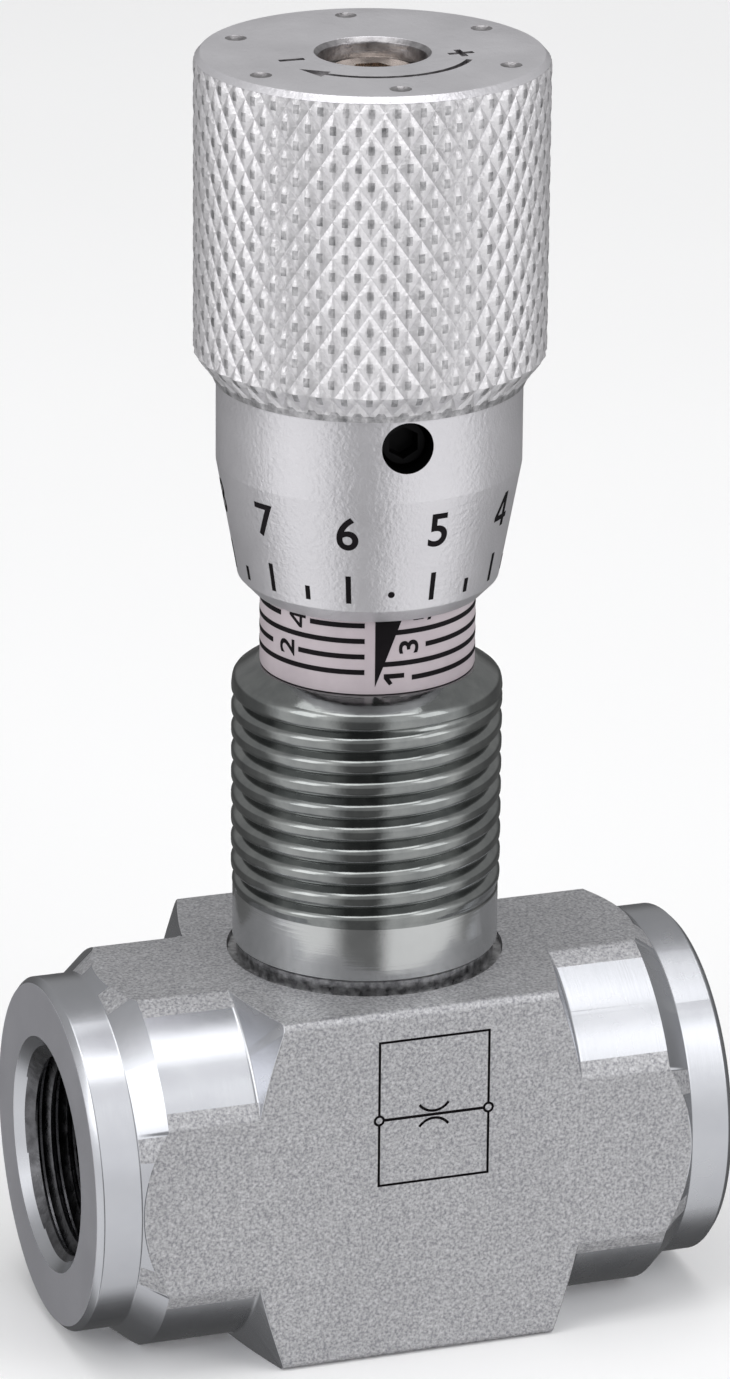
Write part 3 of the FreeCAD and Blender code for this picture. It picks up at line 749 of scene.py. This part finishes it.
def knob_paint(x, y, level, normal):
    """The grip is knurled, with painted shade on its diamond tips and painted light on its groove faces. The
    recess and the engraving are painted dark and the set screw's hole black, as painted shade.
    """
    level -= KNOB_LIFT
    out = math.hypot(x, y)
    # painted shade on the knurl's diamond tips, painted light on its groove faces
    if out > 11.4 and GRIP_FOOT + 0.02 < level < KNURL_TOP:
        return KNOB_PAINTS.index(KNURL_TIPS_PAINTED_SHADE if out > grip_profile(level) - 0.03 else KNURL_GROOVES_PAINTED_LIGHT)
    # painted shade in the socket of the knob's top and in its engraved marks
    if (out < 4.3 and level > 66.0) or (5.0 < out < 12.4 and 80.0 < level < KNOB_TOP_CLOSED - 0.005):
        return KNOB_PAINTS.index(RECESS_PAINTED_SHADE)
    # painted shade: the walls of the set screw's hole are painted black
    if 8.7 < out < 11.68 and 50.9 < level < GRIP_FOOT and abs(normal.z) + abs(normal.x) > 0.3:
        return KNOB_PAINTS.index(BLACK_OXIDE_AND_HOLE_SHADE)
    return KNOB_PAINTS.index(SATIN)


cutters = [cylinder_out(2.0, 6.0, 14.0, LOCK_LEVEL, LOCK_ANGLE), *top_cutters()]
knob = clean(subtract(clean(knob_mesh()), cutters), sharp=24.0)
piece = make_object("knurled_knob", knob, KNOB_PAINTS, "knob_and_spindle", ["knob"])
paint(piece, knob_paint)


# ---------------------------------------------------------------- digits and printed lines

# how far a mark goes in under the surface and stands out of it
SKIN = (-0.12, 0.02)
# the dial's reading at the sleeve's seam
DIAL_AT_SEAM = 5.744


def taper_radius(level):
    """Outer radius of the knob's numbered taper at a level of the closed knob."""
    return TAPER_RADIUS + (level - TAPER_FOOT) * (SKIRT_RADIUS - TAPER_RADIUS) / (TAPER_TOP - TAPER_FOOT)


def wrapped(flat_points, faces, radius_at, angle, level, lift):
    """Bends flat (across, up, out) points round the knob's axis."""
    points = []
    for across, up, out in flat_points:
        z = level + up
        r = radius_at(z) + out
        a = angle + across / radius_at(level)
        points.append((r * math.cos(a), r * math.sin(a), z + lift))
    return points, faces


# outlines, one unit tall, of the digits that the font draws too closed or too plain
OWN_DIGITS = {
    "1": [[(0.0, 0.74), (0.28, 1.0), (0.46, 1.0), (0.46, 0.0), (0.27, 0.0), (0.27, 0.72), (0.08, 0.57)]],
    "4": [[(0.0, 0.21), (0.0, 0.35), (0.40, 1.0), (0.57, 1.0), (0.57, 0.36), (0.70, 0.36), (0.70, 0.21),
           (0.57, 0.21), (0.57, 0.0), (0.41, 0.0), (0.41, 0.21)],
          [(0.17, 0.36), (0.41, 0.36), (0.41, 0.75)]],
}


def digit_curve(text, weight):
    """A flat filled curve of one digit; weight thickens the font's outline, in parts of its size."""
    if text not in OWN_DIGITS:
        curve = bpy.data.curves.new("digit", "FONT")
        curve.body = text
        curve.size = 1.0
        curve.offset = weight
        curve.resolution_u = 6
        return curve
    curve = bpy.data.curves.new("digit", "CURVE")
    curve.dimensions = "2D"
    curve.fill_mode = "BOTH"
    for outline in OWN_DIGITS[text]:
        spline = curve.splines.new("POLY")
        spline.points.add(len(outline) - 1)
        for point, (u, v) in zip(spline.points, outline):
            point.co = (u, v, 0, 1)
        spline.use_cyclic_u = True
    return curve


def digit_shape(text, height, weight, turned=False, wide=1.0):
    """One digit as a thin solid: points (across, up, out) and faces. A turned one lies on its side."""
    curve = digit_curve(text, weight)
    curve.extrude = 0.02
    holder = bpy.data.objects.new("digit", curve)
    bpy.context.scene.collection.objects.link(holder)
    bpy.context.view_layer.update()
    mesh = bpy.data.meshes.new_from_object(holder.evaluated_get(bpy.context.evaluated_depsgraph_get()))
    bpy.data.objects.remove(holder)
    bm = bmesh.new()
    bm.from_mesh(mesh)
    bmesh.ops.remove_doubles(bm, verts=bm.verts, dist=1e-5)
    bmesh.ops.triangulate(bm, faces=bm.faces)
    for _ in range(2):
        long_edges = [e for e in bm.edges if e.calc_length() > 0.12]
        bmesh.ops.subdivide_edges(bm, edges=long_edges, cuts=1)
        bmesh.ops.triangulate(bm, faces=bm.faces)
    xs = [v.co.x for v in bm.verts]
    ys = [v.co.y for v in bm.verts]
    tall = max(ys) - min(ys)
    scale = height / tall
    mid_x, mid_y = (max(xs) + min(xs)) / 2, (max(ys) + min(ys)) / 2
    points = []
    for v in bm.verts:
        across, up = (v.co.x - mid_x) * scale * wide, (v.co.y - mid_y) * scale
        if turned:
            across, up = -up, across
        points.append((across, up, SKIN[1] if v.co.z > 0 else SKIN[0]))
    faces = [tuple(v.index for v in f.verts) for f in bm.faces]
    bm.free()
    return points, faces


def tile(width, height, nx=4, ny=3):
    """A thin flat rectangular solid as points (across, up, out) and faces."""
    points, faces = [], []
    for o in SKIN:
        for i in range(ny + 1):
            for j in range(nx + 1):
                points.append((width * (j / nx - 0.5), height * (i / ny - 0.5), o))
    layer = (nx + 1) * (ny + 1)
    for i in range(ny):
        for j in range(nx):
            a = i * (nx + 1) + j
            quad = (a, a + 1, a + nx + 2, a + nx + 1)
            faces.append(quad[::-1])
            faces.append(tuple(layer + v for v in quad))
    border = [j for j in range(nx + 1)] + [(i + 1) * (nx + 1) - 1 for i in range(1, ny + 1)]
    border += [ny * (nx + 1) + j for j in range(nx - 1, -1, -1)]
    border += [i * (nx + 1) for i in range(ny - 1, 0, -1)]
    for a, b in zip(border, border[1:] + border[:1]):
        faces.append((a, b, layer + b, layer + a))
    return points, faces


def dot(radius, segments=16):
    """A thin round solid as points (across, up, out) and faces."""
    points = [(radius * math.cos(TAU * j / segments), radius * math.sin(TAU * j / segments), o)
              for o in SKIN for j in range(segments)]
    faces = [tuple(range(segments))[::-1], tuple(range(segments, 2 * segments))]
    faces += [(j, (j + 1) % segments, segments + (j + 1) % segments, segments + j) for j in range(segments)]
    return points, faces


class Ink:
    """Gathers many thin marks into one piece."""

    def __init__(self):
        self.points, self.faces = [], []

    def add(self, points, faces):
        start = len(self.points)
        self.points += points
        self.faces += [tuple(start + v for v in face) for face in faces]

    def build(self, name, body):
        mesh = mesh_of(name, self.points, self.faces)
        return make_object(name, clean(mesh, distance=1e-7), [INK_AND_SYMBOL_SHADE], body)


# the numbered taper; the half tick between 5 and 6 is a dot
dial = Ink()
for n in range(10):
    angle = math.radians(SEAM_ANGLE + (DIAL_AT_SEAM - n) * 36)
    half = angle - math.radians(18)
    dial.add(*wrapped(*digit_shape(str(n), 2.75, 0.014), taper_radius, angle, 46.35, KNOB_LIFT))
    dial.add(*wrapped(*tile(0.4, 2.3), taper_radius, angle, 41.63, KNOB_LIFT))
    if n == 5:
        dial.add(*wrapped(*dot(0.26), taper_radius, half, 41.23, KNOB_LIFT))
    else:
        dial.add(*wrapped(*tile(0.38, 1.15), taper_radius, half, 41.055, KNOB_LIFT))
dial.build("dial_marks", "knob_and_spindle")

SLEEVE_RADIUS, SPIGOT_RADIUS = 8.3, 7.9
SLEEVE_LOW, SLEEVE_HIGH = 38.25, 50.4
# The printed lines: width, climb in one turn, level of the first at the seam, and step from one to the next.
LINE_WIDTH = 0.4
LINE_RISE = 0.65
FIRST_LINE, LINE_STEP = 39.4, 1.25
LINE_END = 357.5
scale = Ink()


def sleeve_radius(level):
    return SLEEVE_RADIUS


def line_piece(start, end, index):
    """Part of one printed line, from start to end degrees past the seam."""
    count = max(int((end - start) / 3), 2)
    points = []
    for o in SKIN:
        for side in (-0.5, 0.5):
            for k in range(count + 1):
                turn = start + (end - start) * k / count
                level = FIRST_LINE + LINE_STEP * (index - 1) + LINE_RISE * turn / 360 + side * LINE_WIDTH
                a = math.radians(SEAM_ANGLE + turn)
                r = SLEEVE_RADIUS + o
                points.append((r * math.cos(a), r * math.sin(a), level))
    n = count + 1
    faces = []
    for k in range(count):
        faces.append((k, n + k, n + k + 1, k + 1))
        faces.append((2 * n + k, 2 * n + k + 1, 3 * n + k + 1, 3 * n + k))
        faces.append((k, k + 1, 2 * n + k + 1, 2 * n + k))
        faces.append((n + k, 3 * n + k, 3 * n + k + 1, n + k + 1))
    faces.append((0, 2 * n, 3 * n, n))
    faces.append((n - 1, 2 * n - 1, 4 * n - 1, 3 * n - 1))
    scale.add(points, faces)


# The wedge's straight edge in degrees past the seam, the level of its tip, and its widening in degrees a mm.
WEDGE_LEFT = 3.0
WEDGE_TIP = 38.85
WEDGE_SLOPE = 2.65


def wedge_edge(level):
    return WEDGE_LEFT + max(level - WEDGE_TIP, 0) * WEDGE_SLOPE


for index in range(1, 10):
    level = FIRST_LINE + LINE_STEP * (index - 1)
    if index % 2 == 1:
        centre = 13.2 + 4.0 * (index - 1)
        line_piece(centre + 9.9, LINE_END, index)
    else:
        centre = 360 - 48.6 + 3.75 * (index - 2)
        line_piece(wedge_edge(level) - 1.0, centre - 12.5, index)
        line_piece(centre + 8.3, LINE_END, index)
    digit = digit_shape(str(index), 1.6, 0.016, turned=True, wide=1.25)
    middle = level + LINE_RISE * centre / 360
    scale.add(*wrapped(*digit, sleeve_radius, math.radians(SEAM_ANGLE + centre), middle, 0.0))

# the wedge that widens upward beside the seam
count = 24
points = []
for o in SKIN:
    for k in range(count + 1):
        z = WEDGE_TIP + (SLEEVE_HIGH - 0.05 - WEDGE_TIP) * k / count
        for s in range(5):
            turn = WEDGE_LEFT + (wedge_edge(z) - WEDGE_LEFT) * s / 4
            a = math.radians(SEAM_ANGLE + turn)
            r = SLEEVE_RADIUS + o
            points.append((r * math.cos(a), r * math.sin(a), z))
layer = 5 * (count + 1)
faces = []
for k in range(count):
    for s in range(4):
        a = k * 5 + s
        faces.append((a, a + 1, a + 6, a + 5)[::-1])
        faces.append(tuple(layer + v for v in (a, a + 1, a + 6, a + 5)))
    for s in (0, 4):
        a = k * 5 + s
        faces.append((a, a + 5, layer + a + 5, layer + a))
for s in range(4):
    a = count * 5 + s
    faces.append((a, a + 1, layer + a + 1, layer + a))
scale.add(points, faces)
scale.build("scale_marks", "housing")

# the sleeve's film, a thin closed ring with rounded outer edges
film = fillet([(SPIGOT_RADIUS, 44.0, 0), (SPIGOT_RADIUS, SLEEVE_LOW, 0), (SLEEVE_RADIUS, SLEEVE_LOW, 0.08),
               (SLEEVE_RADIUS, SLEEVE_HIGH, 0.08), (SPIGOT_RADIUS, SLEEVE_HIGH, 0),
               (SPIGOT_RADIUS, 44.0, 0)], 1.0)
sleeve = clean(lathe("sleeve", film[:-1], 192))
make_object("scale_film", sleeve, [FILM], "housing", ["scale_sleeve"])


# ---------------------------------------------------------------- CAD nodes that keep their shape

FINISHES = {
    "seat_ring": GROUND,
    "retaining_ring": SPRING,
    "spindle": GROUND,
    "spindle_o_ring": RUBBER,
    "backup_ring": PTFE,
    "knob_screw": YELLOW,
    "knob_washer": SPRING,
    "lock_pad": BRASS,
    "lock_screw": BLACK_OXIDE_AND_HOLE_SHADE,
}
for node, material in FINISHES.items():
    item = frame["nodes"][node]
    item.data.materials.clear()
    item.data.materials.append(material)


# ---------------------------------------------------------------- studio

MIDDLE = (0, 0, 0.05)


def area(name, place, size, power):
    """A soft box that faces the middle of the valve."""
    light = bpy.data.lights.new(name, "AREA")
    light.shape = "RECTANGLE"
    light.size, light.size_y = size
    light.energy = power
    holder = bpy.data.objects.new(name, light)
    bpy.context.scene.collection.objects.link(holder)
    holder.location = place
    holder.rotation_euler = (Vector(MIDDLE) - Vector(place)).to_track_quat("-Z", "Y").to_euler()


def from_camera(side, height, distance):
    """A place given by its angle to the side of the camera and above the ground, in degrees."""
    a = math.radians(FACING + side)
    e = math.radians(height)
    x, y = distance * math.cos(a) * math.cos(e), distance * math.sin(a) * math.cos(e)
    return x, y, MIDDLE[2] + distance * math.sin(e)


area("top_soft_box", (0.0, 0.0, 0.75), (0.6, 0.6), 1.9)
area("left_soft_box", from_camera(-55, 30, 0.6), (0.25, 0.4), 0.5)
area("right_soft_box", from_camera(60, 30, 0.6), (0.25, 0.4), 0.4)

# brightness round the horizon, from behind through the left, the camera's side and the right to behind again
WALLS = [(0.0, 0.10), (0.14, 0.16), (0.24, 0.30), (0.29, 1.15), (0.41, 1.05), (0.455, 0.22),
         (0.53, 0.18), (0.565, 1.10), (0.72, 1.05), (0.77, 0.30), (0.86, 0.16), (1.0, 0.10)]
# multiplied by height, from straight down to straight up
HEIGHTS = [(0.0, 0.9), (0.30, 1.1), (0.6, 1.0), (1.0, 0.8)]
# added by height
CEILING = [(0.0, 0.0), (0.5, 0.02), (0.60, 0.30), (0.75, 0.36), (1.0, 0.40)]
ROOM_STRENGTH = 0.85


def studio_world():
    """A white backdrop for the camera. The object reflects a room with a bright panel to each side."""
    world = bpy.data.worlds.new("studio")
    bpy.context.scene.world = world
    world.use_nodes = True
    world.node_tree.nodes.clear()
    g = Graph(world)
    direction = g.add("ShaderNodeTexCoord").outputs["Generated"]
    split = g.add("ShaderNodeSeparateXYZ")
    g.link(direction, split.inputs["Vector"])
    x, y, z = (split.outputs[k] for k in "XYZ")
    facing = math.radians(FACING)
    c, s = math.cos(facing), math.sin(facing)
    ahead = g.maths("ADD", g.maths("MULTIPLY", x, c), g.maths("MULTIPLY", y, s))
    aside = g.maths("ADD", g.maths("MULTIPLY", x, -s), g.maths("MULTIPLY", y, c))
    turn = g.range(g.maths("ARCTAN2", aside, ahead), 0.0, 1.0, -math.pi, math.pi)
    height = g.range(z, 0.0, 1.0, -1.0, 1.0)
    walls, heights, lift = (g.ramp(place, [(at, (v, v, v)) for at, v in stops])
                            for place, stops in ((turn, WALLS), (height, HEIGHTS), (height, CEILING)))
    mix = g.add("ShaderNodeMix", data_type="RGBA", blend_type="MULTIPLY")
    mix.inputs["Factor"].default_value = 1.0
    g.link(walls, mix.inputs["A"])
    g.link(heights, mix.inputs["B"])
    total = g.add("ShaderNodeMix", data_type="RGBA", blend_type="ADD")
    total.inputs["Factor"].default_value = 1.0
    g.link(mix.outputs["Result"], total.inputs["A"])
    g.link(lift, total.inputs["B"])
    room = g.add("ShaderNodeBackground")
    room.inputs["Strength"].default_value = ROOM_STRENGTH
    g.link(total.outputs["Result"], room.inputs["Color"])
    backdrop = g.add("ShaderNodeBackground")
    backdrop.inputs["Color"].default_value = (1.0, 1.0, 1.0, 1)
    backdrop.inputs["Strength"].default_value = 1.0
    choose = g.add("ShaderNodeMixShader")
    g.link(g.add("ShaderNodeLightPath").outputs["Is Camera Ray"], choose.inputs["Fac"])
    g.link(room.outputs["Background"], choose.inputs[1])
    g.link(backdrop.outputs["Background"], choose.inputs[2])
    output = g.add("ShaderNodeOutputWorld")
    g.link(choose.outputs["Shader"], output.inputs["Surface"])


studio_world()

floor_material, floor_shader = new_material("pale_floor")
floor_graph = Graph(floor_material)
floor_tones = [(0.3, (0.93, 0.93, 0.935)), (0.7, (0.95, 0.95, 0.955))]
floor_graph.link(floor_graph.ramp(floor_graph.noise(6.0), floor_tones), floor_shader.inputs["Base Color"])
floor_shader.inputs["Roughness"].default_value = 0.8
floor_mesh = bpy.data.meshes.new("floor")
floor_mesh.from_pydata([(-3, -3, 0), (3, -3, 0), (3, 3, 0), (-3, 3, 0)], [], [(0, 1, 2, 3)])
floor = bpy.data.objects.new("floor", floor_mesh)
bpy.context.scene.collection.objects.link(floor)
floor.data.materials.append(floor_material)
floor.visible_glossy = False

# camera at the photograph's viewing angle; the focal length and the shift are in pixels of a frame that
# is 1379 high
AZIMUTH, ELEVATION, ROLL = (math.radians(v) for v in (-19.07, 19.99, 0.53))
DISTANCE = 0.540
AIM = Vector((0, 0, 0.05016))
FOCAL = 6992.75
FRAME_HEIGHT = 1379
SENSOR = 36.0
SHIFT = -1.8
back = Vector((math.sin(AZIMUTH) * math.cos(ELEVATION), -math.cos(AZIMUTH) * math.cos(ELEVATION),
               math.sin(ELEVATION)))
right = Vector((math.cos(AZIMUTH), math.sin(AZIMUTH), 0))
up = back.cross(right)
tilted_right = right * math.cos(ROLL) + up * math.sin(ROLL)
tilted_up = up * math.cos(ROLL) - right * math.sin(ROLL)
camera_data = bpy.data.cameras.new("camera")
camera_data.sensor_width = SENSOR
camera_data.lens = FOCAL * SENSOR / FRAME_HEIGHT
camera_data.shift_x = SHIFT / FRAME_HEIGHT
camera_data.clip_start = 0.01
camera = bpy.data.objects.new("camera", camera_data)
bpy.context.scene.collection.objects.link(camera)
camera.matrix_world = Matrix.Translation(AIM + back * DISTANCE) @ Matrix(
    (tilted_right, tilted_up, back)
).transposed().to_4x4()
bpy.context.scene.camera = camera

bpy.context.scene.view_settings.view_transform = "Standard"
